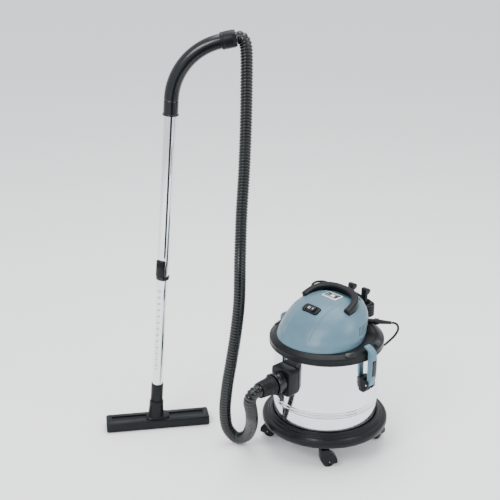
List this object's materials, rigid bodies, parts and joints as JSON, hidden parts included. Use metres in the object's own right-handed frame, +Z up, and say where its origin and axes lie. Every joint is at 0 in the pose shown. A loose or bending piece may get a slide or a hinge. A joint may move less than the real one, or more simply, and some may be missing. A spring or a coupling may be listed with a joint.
{
  "type": "shop vacuum",
  "caption": "Wet and dry vacuum: steel drum on a caster dolly, lift-off motor head with latches, ribbed hose, telescopic wand and floor nozzle.",
  "frame": {"origin": "on the floor at the centre of the footprint, measured without the mains cord and the hose", "axes": "+X from the wand to the drum, +Y to the back, +Z up"},
  "size_m": [0.868, 0.4106, 1.1885],
  "materials": {
    "black_plastic": "fine moulded texture",
    "blue_plastic": "satin moulded",
    "drum_steel": "polished sheet",
    "tube_chrome": "mirror plated",
    "pin_steel": "plain",
    "hose_plastic": "ribbed flexible hose",
    "seal_rubber": "matt",
    "wheel_rubber": "matt",
    "cord_rubber": "smooth sheath",
    "label": "plain plate with a dark field",
    "foam": "open-cell foam",
    "motor_metal": "as stamped",
    "rotor_copper": "varnished winding",
    "float_plastic": "natural"
  },
  "bodies": {
    "root": {"base_ring": "black_plastic", "drum_shell": "drum_steel", "inlet_housing": "black_plastic", "inlet_deflector": "black_plastic", "hose_inlet_cuff": "black_plastic", "suction_hose": "hose_plastic", "hose_handle_collar": "black_plastic", "latch_bracket_right": "black_plastic", "latch_pin_right": "pin_steel", "latch_bracket_left": "black_plastic", "latch_pin_left": "pin_steel"},
    "inlet_ring": {"inlet_lock_ring": "black_plastic"},
    "head": {"lid": "black_plastic", "lid_seal": "seal_rubber", "head_cover": "blue_plastic", "carry_handle": "black_plastic", "label_plate": "label", "switch_bezel": "black_plastic", "cord_gland": "cord_rubber", "power_cord": "cord_rubber", "cord_hank": "cord_rubber", "cord_tail": "cord_rubber", "plug": "cord_rubber", "cord_hook_left": "black_plastic", "cord_hook_right": "black_plastic", "filter_cage": "black_plastic", "foam_filter": "foam", "fan_housing": "motor_metal", "motor_can": "motor_metal"},
    "switch": {"rocker_switch": "black_plastic"},
    "float": {"float_cup": "float_plastic"},
    "rotor": {"motor_rotor": "rotor_copper", "impeller": "motor_metal"},
    "latch_right": {"latch_lever_right": "blue_plastic", "latch_thumb_pad_right": "black_plastic"},
    "latch_left": {"latch_lever_left": "blue_plastic", "latch_thumb_pad_left": "black_plastic"},
    "wand": {"bent_handle": "black_plastic", "upper_tube": "tube_chrome", "tube_end_ring": "black_plastic"},
    "slider": {"lock_slider": "black_plastic"},
    "lower_wand": {"lower_tube": "tube_chrome", "nozzle_neck": "black_plastic"},
    "nozzle": {"nozzle_body": "black_plastic", "nozzle_strip_front": "seal_rubber", "nozzle_strip_rear": "seal_rubber"},
    "caster_1": {"caster_fork_1": "black_plastic"},
    "wheel_1": {"caster_wheel_1": "wheel_rubber", "caster_axle_1": "pin_steel"},
    "caster_2": {"caster_fork_2": "black_plastic"},
    "wheel_2": {"caster_wheel_2": "wheel_rubber", "caster_axle_2": "pin_steel"},
    "caster_3": {"caster_fork_3": "black_plastic"},
    "wheel_3": {"caster_wheel_3": "wheel_rubber", "caster_axle_3": "pin_steel"},
    "caster_4": {"caster_fork_4": "black_plastic"},
    "wheel_4": {"caster_wheel_4": "wheel_rubber", "caster_axle_4": "pin_steel"}
  },
  "joints": [
    {"name": "caster_swivel_1", "type": "hinge", "parent": "root", "child": "caster_1", "pos_m": [0.22731, -0.15049, 0.06], "axis": [0, 0, 1], "continuous": true},
    {"name": "wheel_roll_1", "type": "hinge", "parent": "caster_1", "child": "wheel_1", "pos_m": [0.23719, -0.149, 0.02], "axis": [-0.1494, 0.9888, 0], "continuous": true},
    {"name": "caster_swivel_2", "type": "hinge", "parent": "root", "child": "caster_2", "pos_m": [0.38705, -0.00666, 0.06], "axis": [0, 0, 1], "continuous": true},
    {"name": "wheel_roll_2", "type": "hinge", "parent": "caster_2", "child": "wheel_2", "pos_m": [0.39327, 0.00118, 0.02], "axis": [-0.7833, 0.6216, 0], "continuous": true},
    {"name": "caster_swivel_3", "type": "hinge", "parent": "root", "child": "caster_3", "pos_m": [0.24321, 0.15309, 0.06], "axis": [0, 0, 1], "continuous": true},
    {"name": "wheel_roll_3", "type": "hinge", "parent": "caster_3", "child": "wheel_3", "pos_m": [0.24094, 0.16283, 0.02], "axis": [-0.9738, -0.2272, 0], "continuous": true},
    {"name": "caster_swivel_4", "type": "hinge", "parent": "root", "child": "caster_4", "pos_m": [0.08347, 0.00925, 0.06], "axis": [0, 0, 1], "continuous": true},
    {"name": "wheel_roll_4", "type": "hinge", "parent": "caster_4", "child": "wheel_4", "pos_m": [0.07443, 0.01353, 0.02], "axis": [-0.4274, -0.9041, 0], "continuous": true},
    {"name": "head_lift", "type": "slide", "parent": "root", "child": "head", "axis": [0, 0, 1], "range_m": [0, 0.16]},
    {"name": "latch_swing_right", "type": "hinge", "parent": "root", "child": "latch_right", "pos_m": [0.34834, -0.12429, 0.248], "axis": [0.7431, 0.6691, 0], "range_deg": [0, 131]},
    {"name": "latch_swing_left", "type": "hinge", "parent": "root", "child": "latch_left", "pos_m": [0.12218, 0.12689, 0.248], "axis": [-0.7431, -0.6691, 0], "range_deg": [0, 131]},
    {"name": "inlet_ring_turn", "type": "hinge", "parent": "root", "child": "inlet_ring", "pos_m": [0.08886, -0.13052, 0.254], "axis": [-0.7431, -0.6691, 0], "range_deg": [0, 30]},
    {"name": "power_rocker", "type": "hinge", "parent": "head", "child": "switch", "pos_m": [0.1877, -0.04152, 0.4362], "axis": [0.6789, 0.6113, 0.4067], "range_deg": [0, 10.7]},
    {"name": "float_rise", "type": "slide", "parent": "head", "child": "float", "axis": [0, 0, 1], "range_m": [0, 0.03]},
    {"name": "motor_spin", "type": "hinge", "parent": "head", "child": "rotor", "pos_m": [0.22634, -0.00673, 0.39], "axis": [0, 0, 1], "continuous": true},
    {"name": "wand_swivel", "type": "hinge", "parent": "root", "child": "wand", "pos_m": [-0.06064, 0.0803, 1.15823], "axis": [0.978, 0, 0.2086], "continuous": true},
    {"name": "tube_telescope", "type": "slide", "parent": "wand", "child": "lower_wand", "axis": [0.076, 0, 0.9971], "range_m": [0, 0.28]},
    {"name": "tube_lock", "type": "slide", "parent": "wand", "child": "slider", "axis": [0.076, 0, 0.9971], "range_m": [0, 0.008], "stiffness_N_per_m": 300},
    {"name": "nozzle_turn", "type": "hinge", "parent": "lower_wand", "child": "nozzle", "pos_m": [-0.26742, 0.0803, 0.0698], "axis": [0.076, 0, 0.9971], "continuous": true}
  ],
  "couplings": [
    {"joint": "latch_swing_right", "follows": "head_lift", "rad_per_m": 14.181},
    {"joint": "latch_swing_left", "follows": "head_lift", "rad_per_m": 14.181}
  ]
}
